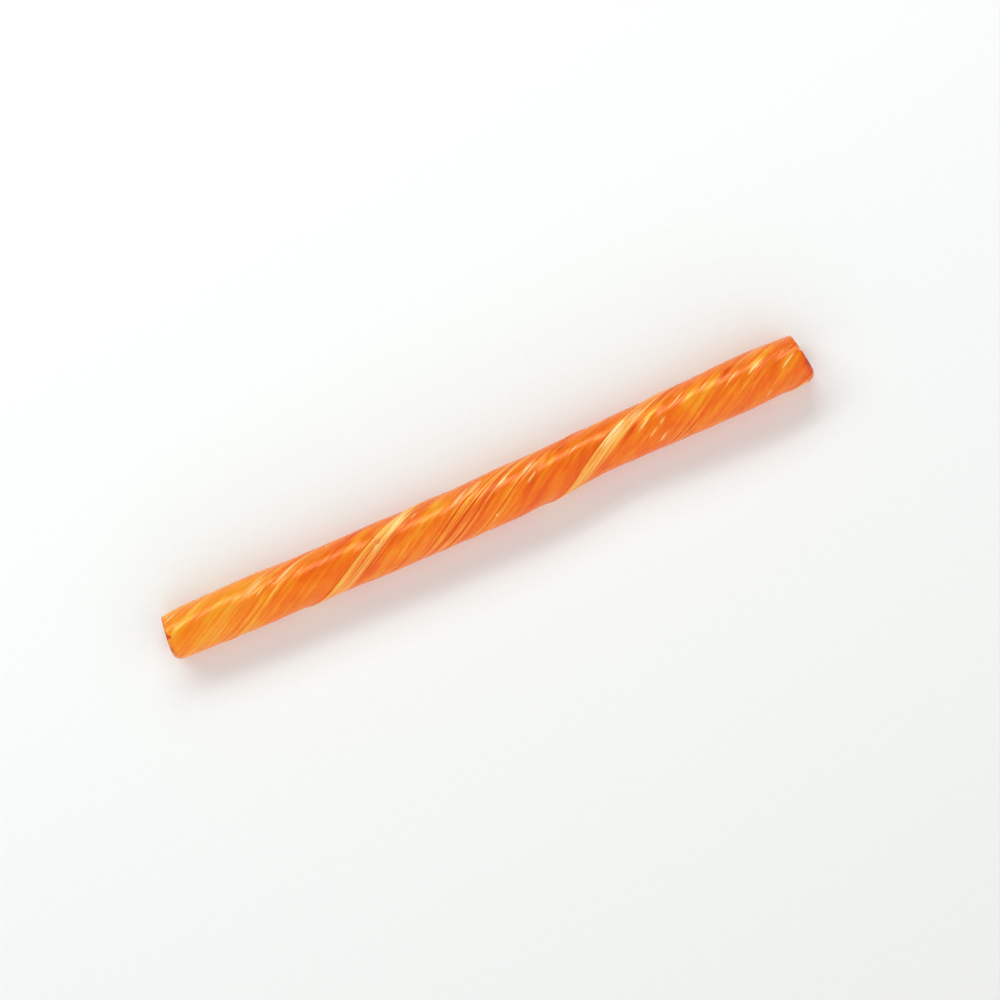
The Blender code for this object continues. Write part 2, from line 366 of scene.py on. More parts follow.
# Gold and cream patches on and around the highlight band along the upper side are painted highlight and
# sheen. The pale ones low on the near edge are partly painted light thrown up from the floor. Red patches
# are redder sugar; along the far edge they are partly painted shade where the surface turns away.
# Patches that lift (+) or lower (-) the tone: place along, place across, half length, half width, tone.
TINTS_AND_PAINTED_LIGHT = (
    (-57.0, 3.1, 5.0, 0.9, 0.14),
    (-50.0, 2.9, 4.0, 0.9, 0.14),
    (-50.0, -0.7, 4.5, 1.2, -0.17),
    (-43.5, -1.6, 3.5, 1.2, -0.12),
    (-40.0, -0.8, 3.0, 1.0, -0.08),
    (-36.5, 3.5, 4.0, 0.7, -0.10),
    (-31.0, -1.5, 3.5, 1.8, -0.10),
    (-30.6, -3.6, 2.8, 0.8, 0.30),
    (-24.0, 3.6, 5.0, 0.8, -0.26),
    (-21.0, -3.7, 4.0, 0.8, 0.12),
    (-20.6, 0.6, 2.6, 0.7, 0.22),
    (-16.7, 2.3, 2.4, 0.9, 0.50),
    (-12.5, -3.2, 5.0, 1.0, 0.08),
    (-11.5, 3.5, 4.0, 0.9, -0.36),
    (-9.5, 2.4, 3.2, 0.9, 0.30),
    (-4.0, 0.5, 3.5, 0.7, 0.06),
    (-3.0, -1.2, 4.0, 1.0, -0.06),
    (-3.0, 3.5, 4.0, 0.7, -0.18),
    (-1.5, 2.4, 3.4, 0.8, 0.24),
    (2.5, 0.3, 2.5, 0.8, -0.12),
    (3.9, 1.5, 1.4, 0.8, 0.32),
    (9.0, -1.2, 4.0, 1.0, -0.10),
    (9.2, 1.8, 1.5, 0.6, 0.14),
    (10.0, 3.5, 3.0, 0.6, -0.15),
    (11.5, 0.4, 2.5, 0.6, 0.12),
    (13.6, 1.4, 2.0, 1.0, 0.36),
    (15.9, 2.7, 1.3, 0.6, -0.34),
    (15.8, -0.8, 1.8, 0.7, -0.18),
    (18.5, -1.5, 3.0, 0.8, -0.17),
    (22.4, 1.5, 1.8, 0.5, 0.24),
    (26.6, 1.5, 3.0, 1.1, 0.64),
    (29.4, 0.6, 1.3, 0.6, -0.26),
    (34.2, 2.2, 3.6, 1.3, 0.40),
    (36.0, 0.6, 3.0, 0.6, 0.12),
    (36.8, 3.8, 3.0, 0.7, -0.26),
    (41.6, 2.0, 2.2, 1.3, 0.34),
    (45.6, 2.2, 2.8, 1.3, 0.38),
    (49.2, 3.0, 1.7, 0.9, -0.32),
    (56.0, 2.8, 2.5, 0.9, 0.28),
    (57.0, -1.0, 2.0, 0.7, -0.16),
    (60.2, 0.5, 2.0, 1.0, 0.27),
    (62.0, -1.2, 2.2, 1.2, -0.18),
    (63.6, -0.9, 0.8, 1.5, -0.30),
)
# Stains at the rims: end, angle round the stick, half width, strength.
RIM_STAINS = (
    (LEFT_END, math.radians(76.0), math.radians(9.0), 0.6),
    (LEFT_END, math.radians(122.0), math.radians(7.0), 0.8),
    (RIGHT_END, math.radians(86.0), math.radians(13.0), 0.7),
    (RIGHT_END, math.radians(112.0), math.radians(17.0), 1.0),
)
STAIN_START = 0.12
STAIN_FULL = 0.5
STAIN_FADE = 6  # how quickly a stain ends from the rim inwards
# Red spots: place along, place across, radius.
RED_SPOTS = ((-63.2, 0.05, 0.5), (-64.0, -2.5, 0.35))


def smooth_along(x, values):
    """A smooth curve through the values at the stations."""
    slopes = np.gradient(values, STATIONS)
    index = np.clip(np.searchsorted(STATIONS, x) - 1, 0, len(STATIONS) - 2)
    gap = STATIONS[index + 1] - STATIONS[index]
    part = (x - STATIONS[index]) / gap
    blend = part * part * (3 - 2 * part)
    level = values[index] * (1 - blend) + values[index + 1] * blend
    rise = slopes[index] * part * (1 - part) ** 2
    fall = slopes[index + 1] * part**2 * (1 - part)
    return level + gap * (rise - fall)


def fibre_at(angle, x):
    """The fibre that lies at an angle round the stick."""
    return angle + FIBRE_LEAN * np.sin(angle - LEAN_TOWARDS) + TWIST_RATE * x


def lay_angle(turned):
    """The angle round the stick of a fibre that the twist has brought to `turned`."""
    angle = turned.copy()
    for _ in range(SETTLING_STEPS):
        miss = fibre_at(angle, 0) - turned
        angle -= miss / (1 + FIBRE_LEAN * np.cos(angle - LEAN_TOWARDS))
    return angle


def from_fibre(fibre, centre):
    """How far beyond another fibre one lies, within half a turn either way."""
    return np.mod(fibre - centre + math.pi, 2 * math.pi) - math.pi


def near_fibre(fibre, centre, width):
    """1 on the middle fibre, falling off to both sides."""
    return np.exp(-((from_fibre(fibre, centre) / width) ** 2))


def band_share(fibre):
    """1 at the crest of the seam's raised band, falling to 0 at its far side."""
    beyond = from_fibre(fibre, SEAM_FIBRE)
    rise = np.sin(np.clip(beyond / BAND_RISE, 0, 1) * math.pi / 2)
    return rise * np.clip(1 - (beyond - BAND_RISE) / BAND_WIDTH, 0, 1) * (beyond > 0)


def band_colouring(fibre):
    """1 over the pale band beside the seam, ending softly on its far side."""
    beyond = from_fibre(fibre, SEAM_FIBRE)
    rise = np.clip(beyond / BAND_RISE, 0, 1)
    fall = np.clip((PALE_WIDTH + PALE_FADE - beyond) / PALE_FADE, 0, 1)
    return rise * fall * fall * (3 - 2 * fall)


def seam_relief(fibre):
    groove = GROOVE_DEPTH * near_fibre(fibre, SEAM_FIBRE, GROOVE_WIDTH)
    return BAND_HEIGHT * band_share(fibre) - groove


def fold_relief(fibre, x):
    relief = OVAL * END_RADIUS * np.cos(2 * (fibre - OVAL_FIBRE))
    for centre, width, height in FOLDS:
        fade = 1 - FOLD_FADE + FOLD_FADE * np.cos(2 * math.pi * x / FOLD_BEAT + centre)
        relief += height * near_fibre(fibre, centre, width) * fade
    return relief


def strand_noise(fibre, x, around, along, seed):
    """Random streaks from -1 to 1 that follow the fibres, smooth between their cells."""
    rows = int(2 * STATIONS[-1] / along) + 3
    table = np.random.default_rng(seed).uniform(-1, 1, (rows, around))
    across = np.mod(fibre / (2 * math.pi), 1) * around
    down = (x - STATIONS[0]) / along
    column, row = np.floor(across).astype(int), np.floor(down).astype(int)
    right = across - column
    ahead = down - row
    right = right * right * (3 - 2 * right)
    ahead = ahead * ahead * (3 - 2 * ahead)
    column, beside = column % around, (column + 1) % around
    row = np.clip(row, 0, rows - 2)
    here = table[row, column] * (1 - right) + table[row, beside] * right
    there = table[row + 1, column] * (1 - right) + table[row + 1, beside] * right
    return here * (1 - ahead) + there * ahead


def striae_strength(fibre, x):
    """How strong the fine lines are: in groups round the stick, and coming and going along it."""
    strength = np.full_like(fibre, STRIAE_FLOOR)
    near_middle = np.exp(-(((x - STRIAE_MIDDLE) / STRIAE_REACH) ** 2))
    for centre, width, share, left_over in STRIAE_GROUPS:
        share = share * (left_over + (1 - left_over) * near_middle)
        strength = np.maximum(strength, share * near_fibre(fibre, centre, width))
    presence = PRESENCE_LEVEL + PRESENCE_SWING * strand_noise(fibre, x, *PRESENCE)
    return np.clip(strength * presence * (1 - AMBER_HIDES * amber_share(x)), 0, 1)


def amber_share(x):
    """1 at the amber left end of the stick, falling to 0 over its first third."""
    part = np.clip((AMBER_END - x) / AMBER_FADE, 0, 1)
    return part * part * (3 - 2 * part)


def crease_share(fibre, x):
    """How far down each sharp crease a point lies, fading in and out along the stick."""
    share = np.zeros_like(fibre)
    around, along, first_seed = CREASE_PRESENCE
    for seed, (centre, width, depth) in enumerate(CREASES, start=first_seed):
        present = (1 + strand_noise(np.full_like(fibre, centre), x, around, along, seed)) / 2
        present = np.clip(CREASE_GAIN * present - CREASE_GAPS, 0, 1)
        share += depth * near_fibre(fibre, centre, width) * present
    return share


def striae_relief(fibre, x):
    """Height of the fine lines, and the same as a share of its full height."""
    relief = np.zeros_like(fibre)
    for around, along, height, seed in STRIAE:
        relief += height * strand_noise(fibre, x, around, along, seed)
    full = sum(height for _, _, height, _ in STRIAE)
    return relief * striae_strength(fibre, x), relief / full


def seen_at(place, across):
    """The angle and the radius of a place that is seen from above."""
    reach = smooth_along(place, THICKNESS) / 2
    return math.acos((across + AXIS_BOW - smooth_along(place, SIDE_BOW)) / reach), reach


def seen_marks(table):
    """Place, fibre and radius of each mark, with its length, its half width and what else it has."""
    for place, across, length, width, *rest in table:
        angle, reach = seen_at(place * MM, across * MM)
        yield place * MM, fibre_at(angle, place * MM), reach, length * MM, width * MM, *rest


def taper(x, place, length):
    """1 at the middle of a mark, falling to 0 at its ends."""
    return np.clip(1 - ((x - place) / (length / 2)) ** 2, 0, 1)


def painted_glint_share(fibre, x):
    """1 along the middle of each painted glint: a short bright fibre catching the light."""
    share = np.zeros_like(fibre)
    for place, centre, reach, length, width in seen_marks(PAINTED_GLINT_DASHES):
        share = np.maximum(share, taper(x, place, length) * near_fibre(fibre, centre, width / reach))
    return share


def seen_lines():
    """Middle, fibre, length, half width, strength and drift of each placed line."""
    for place, centre, reach, length, width, strength in seen_marks(LINES):
        yield place, centre, length, width / reach, strength, 0.0


def strewn_lines():
    """The same for the strewn lines, which keep to where the fine lines are strong."""
    draw = np.random.default_rng(LINE_SEED)
    for number, fibres, lengths, widths, strengths in LINE_GROUPS:
        for _ in range(number):
            place, centre = draw.uniform(-HALF_LENGTH, HALF_LENGTH), draw.uniform(*fibres)
            length, width = draw.uniform(*lengths), draw.uniform(*widths)
            strength, drift = draw.uniform(*strengths), draw.uniform(-LINE_DRIFT, LINE_DRIFT)
            sign = 1 if draw.uniform() < LIGHT_SHARE else -1
            here = striae_strength(np.array([centre]), np.array([place]))[0]
            yield place, centre, length, width, sign * strength * here, drift


def line_share(fibre, x):
    """1 along the middle of a light line, -1 along the middle of a dark one."""
    share = np.zeros_like(fibre)
    for place, centre, length, width, strength, drift in (*seen_lines(), *strewn_lines()):
        close = np.flatnonzero(np.abs(x - place) < length / 2)
        here = fibre[close] - drift * (x[close] - place)
        share[close] += strength * taper(x[close], place, length) * near_fibre(here, centre, width)
    return np.clip(share, -1, 1)


def painted_glint_cluster_shares(fibre, x):
    """How much the painted glint clusters lighten each point, and how much the darker lines between their
    bright fibres darken it.
    """
    bright, dark = np.zeros_like(fibre), np.zeros_like(fibre)
    for place, centre, reach, length, width in seen_marks(PAINTED_GLINT_CLUSTERS):
        aside = from_fibre(fibre, centre) * reach
        envelope = taper(x, place, length) * np.exp(-((aside / width) ** 2))
        wave = (1 + np.cos(2 * math.pi * aside / GLINT_PITCH)) / 2
        bright = np.maximum(bright, envelope * wave)
        dark = np.maximum(dark, envelope * (1 - wave))
    return bright, GLINT_DARK * dark


def tint_and_painted_light_shift(fibre, x):
    """How much the patches lift or lower the tone: redder sugar, and painted highlight, sheen and shade.
    """
    shift = np.zeros_like(fibre)
    for place, centre, reach, length, width, change in seen_marks(TINTS_AND_PAINTED_LIGHT):
        onward = (x - place) / length
        shift += change * near_fibre(fibre, centre, width / reach) * np.exp(-(onward**2))
    return shift


def face_relief(fibre, spread, along):
    """Broken strands on the end faces, wound like the layers of the pulled sugar."""
    relief = np.zeros_like(fibre)
    wound = fibre + FACE_SWIRL * spread + along
    for around, width, height, seed in FACE_GRAIN:
        relief += height * strand_noise(wound, END_RADIUS * spread, around, width, seed)
    return relief * np.sin(math.pi * spread)


def rim_radius(angle, soft_rim):
    softness = ((1 - np.cos(angle)) / 2) ** 2
    return SHARP_RIM + (soft_rim - SHARP_RIM) * softness


def end_place(end, angle, spread, corner):
    """x on an end face or its rim, and how far in from the side the point lies."""
    inward = -math.copysign(1, end["place"])
    rim = rim_radius(angle, end["soft_rim"])
    inset = rim * (1 - np.sin(corner)) + (END_RADIUS - rim) * (1 - spread)
    reach = END_RADIUS - inset
    slope = end["slant"] * np.cos(angle) + end["tilt"] * np.sin(angle)
    sunk = rim * (1 - np.cos(corner)) + end["hollow"] * (1 - spread**2)
    return end["place"] + reach * slope + inward * sunk, inset


def middle_line(x):
    """Where the middle of the stick lies across and up."""
    return smooth_along(x, SIDE_BOW), smooth_along(x, THICKNESS) / 2 - REST_DEPTH


def chipped(points):
    """Each nick is the hollow of a ball in the rim. Also tells the colour of the points it moved."""
    colouring = np.zeros(len(points))
    for end, angle, radius, red in CHIPS:
        outside = CHIP_STANDOFF * radius
        slope = end["slant"] * math.cos(angle) + end["tilt"] * math.sin(angle)
        x = end["place"] + END_RADIUS * slope + math.copysign(outside, end["place"])
        y, z = middle_line(x)
        reach = smooth_along(x, THICKNESS) / 2 + outside
        centre = np.array((x, y + reach * math.cos(angle), z + reach * math.sin(angle)))
        offset = points - centre
        away = np.linalg.norm(offset, axis=1)
        inside = away < radius
        points[inside] = centre + offset[inside] * (radius / away[inside])[:, None]
        colouring[inside] = red
    return points, colouring


def rim_stain(angle, spread, corner, along):
    """1 where a rim is stained dark red."""
    cut = 1 - corner / (math.pi / 2)
    edge = np.clip((cut - STAIN_START) / (STAIN_FULL - STAIN_START), 0, 1) * spread**STAIN_FADE
    stain = np.zeros_like(angle)
    for end, centre, width, strength in RIM_STAINS:
        at_end = along == (end is RIGHT_END)
        stain = np.maximum(stain, strength * at_end * near_fibre(angle, centre, width))
    return stain * edge


def stick_surface(fibre, ring):
    """The finished surface, and what the material needs to know at each point of it."""
    end_rings = FACE_RINGS + RIM_RINGS
    last_ring = 2 * end_rings + SIDE_RINGS
    from_end = np.minimum(ring, last_ring - ring)
    spread = np.clip(from_end / FACE_RINGS, 0, 1)
    corner = np.clip((from_end - FACE_RINGS) / RIM_RINGS, 0, 1) * math.pi / 2
    along = np.clip((ring - end_rings) / SIDE_RINGS, 0, 1)

    x = (along - 0.5) * 2 * HALF_LENGTH
    for _ in range(SETTLING_STEPS):
        angle = lay_angle(fibre - TWIST_RATE * x)
        left, left_inset = end_place(LEFT_END, angle, spread, corner)
        right, right_inset = end_place(RIGHT_END, angle, spread, corner)
        x = left * (1 - along) + right * along
    inset = left_inset * (1 - along) + right_inset * along
    reach = 1 - inset / END_RADIUS

    side = smooth_along(x, THICKNESS) / 2 + seam_relief(fibre) + fold_relief(fibre, x)
    striae, ridge = striae_relief(fibre, x)
    # Painted glints: bright dashes and clusters, with darker lines between the clusters' bright fibres
    # taken off the lines.
    bright, dark = painted_glint_cluster_shares(fibre, x)
    painted_glint = np.maximum(painted_glint_share(fibre, x), bright)
    off_the_face = spread**FACE_FADE
    lines = np.clip(line_share(fibre, x) - dark, -1, 1) * off_the_face
    # Patches of redder sugar, and of painted highlight, sheen and shade.
    tint_and_painted_light = tint_and_painted_light_shift(fibre, x)
    band = band_colouring(fibre) * np.clip(1 + BAND_FADE * tint_and_painted_light, 0, 1) * (along > 0) * (along < 1)
    creases = crease_share(fibre, x)
    # Painted shade along the seam's groove.
    seam = SEAM_SHADE * near_fibre(fibre, SEAM_FIBRE, SEAM_SHADE_WIDTH)
    side += striae - creases + DASH_HEIGHT * painted_glint + LINE_HEIGHT * lines
    radius = side * reach
    inner = END_RADIUS * reach
    y, z = middle_line(x)
    x = x + face_relief(fibre, spread, along)
    points, chips = chipped(np.stack((x, y + radius * np.cos(angle), z + radius * np.sin(angle)), axis=1))
    points[:, 2] = np.maximum(points[:, 2], 0)

    facts = {
        "strand": np.stack((inner * np.cos(fibre), inner * np.sin(fibre), x), axis=1),
        "threads": striae_strength(fibre, x),
        "amber": amber_share(x),
        "ridge": ridge,
        "painted_glint": painted_glint,
        "lines": lines,
        "tint_and_painted_light": tint_and_painted_light,
        "band": band,
        # Painted shade in the creases and along the seam's groove.
        "crease": (np.clip(creases / CREASE_FULL, 0, 1) + seam) * off_the_face,
        "cut": 1 - corner / (math.pi / 2),
        "chip": chips,
        "stain": rim_stain(angle, spread, corner, along),
    }
    return points, facts


def sugar_mesh():
    rings = 2 * (FACE_RINGS + RIM_RINGS) + SIDE_RINGS
    shape = bmesh.new()
    shape.loops.layers.uv.new("OFBake")
    bmesh.ops.create_uvsphere(shape, u_segments=COLUMNS, v_segments=rings, radius=1.0, calc_uvs=True)
    mesh = bpy.data.meshes.new("twisted_sugar")
    shape.to_mesh(mesh)
    shape.free()

    ball = np.empty(3 * len(mesh.vertices))
    mesh.vertices.foreach_get("co", ball)
    ball = ball.reshape(-1, 3)
    ring = np.rint(rings * np.arccos(np.clip(-ball[:, 2], -1, 1)) / math.pi)
    column = np.arctan2(ball[:, 1], ball[:, 0])
    fibre = SEAM_FIBRE + column - SEAM_CROWDING * np.sin(column)

    points, facts = stick_surface(fibre, ring)
    middle = (points.min(axis=0) + points.max(axis=0)) / 2
    points[:, :2] -= middle[:2]
    mesh.vertices.foreach_set("co", points.ravel())
    for name, values in facts.items():
        kind = "FLOAT_VECTOR" if values.ndim == 2 else "FLOAT"
        layer = mesh.attributes.new(name, kind, "POINT")
        layer.data.foreach_set("vector" if values.ndim == 2 else "value", values.ravel())
    mesh.shade_smooth()
    mesh.update()
    return mesh, points, middle


def marks(placed, strewn, radii, seed):
    """Place along the stick, angle round it and radius of each small mark."""
    for place, across, radius in placed:
        yield place * MM, seen_at(place * MM, across * MM)[0], radius * MM
    draw = np.random.default_rng(seed)
    for _ in range(strewn):
        place = draw.uniform(-STREWN_REACH, STREWN_REACH)
        angle = DOWNWARD + draw.choice((-1, 1)) * draw.uniform(*OFF_THE_FLAT)
        yield place * MM, angle, draw.uniform(*radii) * MM


def surface_frame(points, middle, place, angle):
    """A matrix on the surface, with its Z pointing out of the stick."""
    y, z = middle_line(place)
    reach = smooth_along(place, THICKNESS) / 2
    guess = np.array((place, y + reach * math.cos(angle), z + reach * math.sin(angle)))
    guess[:2] -= middle[:2]
    nearest = points[np.argmin(((points - guess) ** 2).sum(axis=1))]
    nearest[0] = guess[0]
    outward = Vector((0, math.cos(angle), math.sin(angle)))
    return Matrix.Translation(nearest) @ outward.to_track_quat("Z", "Y").to_matrix().to_4x4()


def spot_on(points, middle, spot):
    """Where a spot that is seen from above lies on the surface, and its radius."""
    place, across, radius = spot
    aside = points[:, 0] + middle[0] - place * MM, points[:, 1] + middle[1] - across * MM - AXIS_BOW
    near = np.hypot(*aside) < radius * MM
    top = points[near, 2].max()
    return place * MM - middle[0], across * MM + AXIS_BOW - middle[1], top, radius * MM


def grains_mesh(points, middle):
    shape = bmesh.new()
    draw = np.random.default_rng(GRAIN_SEED)
    for place, angle, radius in marks(GRAINS, STREWN_GRAINS, GRAIN_RADII, GRAIN_SEED):
        squat = Matrix.Diagonal((1.0, draw.uniform(*GRAIN_WIDTHS), GRAIN_HEIGHT, 1.0))
        turn = Matrix.Rotation(draw.uniform(0, math.pi), 4, "Z")
        frame_here = surface_frame(points, middle, place, angle) @ turn @ squat
        bmesh.ops.create_icosphere(shape, subdivisions=2, radius=radius, matrix=frame_here)
    mesh = bpy.data.meshes.new("sugar_grains")
    shape.to_mesh(mesh)
    shape.free()
    mesh.materials.append(clouded("pale_grain", GRAIN_CLOUD))
    return mesh


def bubbles_mesh(points, middle):
    shape = bmesh.new()
    for place, angle, radius in marks(BUBBLES, STREWN_BUBBLES, BUBBLE_RADII, BUBBLE_SEED):
        here = surface_frame(points, middle, place, angle)
        aside = here @ Matrix.Translation((radius, 0, 0)) @ Matrix.Rotation(math.pi / 2, 4, "X")
        circle = {"segments": BUBBLE_RIM_SIDES, "radius": BUBBLE_RIM, "matrix": aside}
        section = bmesh.ops.create_circle(shape, **circle)["verts"]
        edges = list(dict.fromkeys(edge for vertex in section for edge in vertex.link_edges))
        bmesh.ops.spin(
            shape,
            geom=section + edges,
            cent=here.translation,
            axis=here.to_3x3() @ Vector((0, 0, 1)),
            angle=2 * math.pi,
            steps=BUBBLE_STEPS,
            use_merge=True,
        )
    bmesh.ops.recalc_face_normals(shape, faces=shape.faces)
    mesh = bpy.data.meshes.new("burst_bubbles")
    shape.to_mesh(mesh)
    shape.free()
    mesh.shade_smooth()
    mesh.materials.append(clouded("bubble_rim", BUBBLE_CLOUD, BUBBLE_COAT))
    return mesh


# ---------------------------------------------------------------- materials

RED_ORANGE = (0.72, 0.075, 0.002)
DEEP_ORANGE = (0.83, 0.128, 0.003)
ORANGE = (0.88, 0.205, 0.005)
GOLD = (0.92, 0.42, 0.024)
PALE_GOLD = (0.95, 0.62, 0.15)
PEACH = (0.94, 0.46, 0.13)
CREAM = (0.97, 0.78, 0.41)
AMBER = (0.88, 0.27, 0.008)
CUT_RED = (0.45, 0.022, 0.002)
CHIP_RED = (0.66, 0.035, 0.003)
GRAIN_COLOUR = (0.95, 0.74, 0.50)
GRAIN_SHADE = (0.92, 0.54, 0.28)
FLOOR_COLOUR = (0.93, 0.912, 0.905)
FLOOR_SHADE = 0.985

# The sugar's colour by its tone.
SUGAR_COLOURS = ((0.0, RED_ORANGE), (0.22, DEEP_ORANGE), (0.46, ORANGE), (0.76, GOLD), (1.0, PALE_GOLD))
# Noise along the fibres: how fine it is across them and along them per millimetre, detail, roughness.
NOISES = {
    "broad": (0.22, 0.045, 2.0, 0.5),
    "patches": (0.70, 0.26, 3.0, 0.6),
    "streaks": (1.4, 0.07, 1.0, 0.5),
    "hairs": (2.3, 0.05, 0.0, 0.5),
    "wisps": (4.2, 0.08, 0.0, 0.5),
    "splinters": (1.1, 1.1, 3.0, 0.6),
}
# How a noise or a fact is read: between which two of its values, and what stands for each of them.
MOTTLE = {
    "broad": (0.3, 0.7, -0.12, 0.12),
    "patches": (0.3, 0.7, -0.11, 0.11),
    "streaks": (0.35, 0.65, -0.05, 0.06),
}
LIGHT_HAIRS = {"hairs": (0.55, 0.61, 0.0, 1.0), "wisps": (0.55, 0.63, 0.0, 0.9)}
DARK_HAIRS = {"hairs": (0.45, 0.39, 0.0, 1.0), "wisps": (0.44, 0.36, 0.0, 0.9)}
SPLINTERS = {"splinters": (0.35, 0.65, -0.12, 0.16)}
MOTTLE_BY_BAND = (0.0, 1.0, 1.0, 0.45)
MOTTLE_BY_THREADS = (0.1, 0.8, 1.0, 0.65)
HAIRS_BY_THREADS = (0.1, 0.8, 0.10, 1.0)
ROUGHNESS_BY_THREADS = (0.1, 0.8, 0.24, 0.32)
METALLIC_BY_TONE = (0.5, 0.95, 0.05, 0.12)
CREAM_HIGHLIGHT_BY_TINT = (0.38, 0.68, 0.0, 0.65)

# What each part adds to the tone. The crease darkening is painted shade, the lifted patches are partly
# painted highlight, sheen and shade, and the glint dashes are painted highlight.
BASE_TONE = 0.362
# Painted light and shade on the fine lines: their crests lighter, their hollows darker.
RIDGE_SHADING_TONE = 0.12
LIGHT_HAIR_TONE = 0.26
DARK_HAIR_TONE = -0.20
FACT_TONES = {"lines": 0.42, "band": 0.20, "tint_and_painted_light": 1.0, "amber": 0.16, "crease": -0.40, "painted_glint": 0.40}
# How much of each colour is laid over the sugar, and what makes it more or less.
AMBER_COVER = 0.35
PEACH_ON_LINES = 0.28
PEACH_ON_HAIRS = 0.20
PEACH_ON_BAND = 0.42
PEACH_BY_LINES = 0.45
# Less peach in the creases, as part of their painted shade.
PEACH_BY_CREASES = -0.65
CREAM_BY_LINES = 0.30
CREAM_ON_PAINTED_GLINTS = 0.70
RED_ON_CUT = 0.5
RED_ON_STAIN = 0.9
RED_ON_CHIP = 0.9
CREAM_ON_CHIP = 0.7
SPOT_CORE = 0.5
SPOT_COVER = 0.9

LEAST_GROOVED = 0.28
FIBRE_BUMPS = {"streaks": 0.05 * MM, "hairs": 0.028 * MM, "wisps": 0.010 * MM}
SPLINTER_BUMP = 0.22 * MM
SUGAR_SHADER = {
    "Coat Weight": 0.15,
    "Coat IOR": 1.45,
    "Coat Roughness": 0.08,
    "Specular IOR Level": 0.27,
    "Specular Tint": (0.85, 0.78, 0.52, 1.0),
    "Subsurface Weight": 0.4,
    "Subsurface Radius": (1.0, 0.045, 0.025),
    "Subsurface Scale": 4.0 * MM,
}
BUBBLE_COAT = 0.2
# The plainer surfaces: how fine their cloud is, its detail, bump, roughness and colours.
GRAIN_CLOUD = (6000.0, 2.0, 0.03 * MM, 0.25, ((0.35, GRAIN_SHADE), (0.65, GRAIN_COLOUR)))
BUBBLE_CLOUD = (2500.0, 2.0, 0.02 * MM, 0.2, ((0.3, RED_ORANGE), (0.7, ORANGE)))
FLOOR_CLOUD = (
    900.0,
    3.0,
    0.02 * MM,
    0.7,
    ((0.3, tuple(FLOOR_SHADE * part for part in FLOOR_COLOUR)), (0.7, FLOOR_COLOUR)),
)


class Graph:
    """A short way to write a material's nodes."""

    def __init__(self, name):
        self.material = bpy.data.materials.new(name)
        self.material.use_nodes = True
        self.tree = self.material.node_tree
        self.shader = self.tree.nodes["Principled BSDF"]

    def add(self, kind, inputs=(), **settings):
        node = self.tree.nodes.new(kind)
        for key, value in settings.items():
            setattr(node, key, value)
        for key, value in dict(inputs).items():
            self.put(node.inputs[key], value)
        return node

    def put(self, socket, value):
        if isinstance(value, bpy.types.NodeSocket):
            self.tree.links.new(value, socket)
        else:
            socket.default_value = value

    def shade(self, values):
        for name, value in values.items():
            self.put(self.shader.inputs[name], value)

    def attribute(self, name, output="Fac"):
        return self.add("ShaderNodeAttribute", attribute_name=name).outputs[output]

    def seat(self):
        return self.add("ShaderNodeTexCoord").outputs["Object"]

    def math(self, operation, a, b=0.0, clamp=False):
        node = self.add("ShaderNodeMath", {0: a, 1: b}, operation=operation)
        node.use_clamp = clamp
        return node.outputs[0]

    def plus(self, first, *others):
        for other in others:
            first = self.math("ADD", first, other)
        return first

    def times(self, first, *others):
        for other in others:
            first = self.math("MULTIPLY", first, other)
        return first

    def clamped(self, value):
        return self.math("ADD", value, clamp=True)

    def noise(self, vector, scale, detail, roughness=0.5):
        inputs = {"Vector": vector, "Scale": scale, "Detail": detail, "Roughness": roughness}
        return self.add("ShaderNodeTexNoise", inputs).outputs["Fac"]

    def spread(self, value, low, high, to_low, to_high):
        inputs = {0: value, 1: low, 2: high, 3: to_low, 4: to_high}
        return self.add("ShaderNodeMapRange", inputs, interpolation_type="SMOOTHSTEP").outputs[0]

    def mix(self, factor, under, over):
        node = self.add("ShaderNodeMix", data_type="RGBA")
        self.put(node.inputs[0], factor)
        self.put(node.inputs[6], under)
        self.put(node.inputs[7], (*over, 1.0))
        return node.outputs[2]

    def ramp(self, factor, stops):
        node = self.add("ShaderNodeValToRGB", {0: factor})
        elements = node.color_ramp.elements
        while len(elements) < len(stops):
            elements.new(0.5)  # moved to its own place below
        for element, (place, colour) in zip(elements, stops):
            element.position = place
            element.color = (*colour, 1.0)
        return node.outputs[0]

    def scaled(self, vector, factors):
        return self.add("ShaderNodeVectorMath", {0: vector, 1: factors}, operation="MULTIPLY").outputs[0]

    def distance(self, vector, place):
        node = self.add("ShaderNodeVectorMath", {0: vector, 1: place}, operation="DISTANCE")
        return node.outputs["Value"]

    def bump(self, height, distance, strength=1.0, normal=None):
        node = self.add("ShaderNodeBump", {"Height": height, "Distance": distance, "Strength": strength})
        if normal is not None:
            self.put(node.inputs["Normal"], normal)
        return node.outputs[0]


def fibre_noises(g):
    """Each noise by its name, stretched along the fibres."""
    strand = g.attribute("strand", "Vector")
    for name, (across, along, detail, roughness) in NOISES.items():
        stretched = g.scaled(strand, (across / MM, across / MM, along / MM))
        yield name, g.noise(stretched, 1.0, detail, roughness)


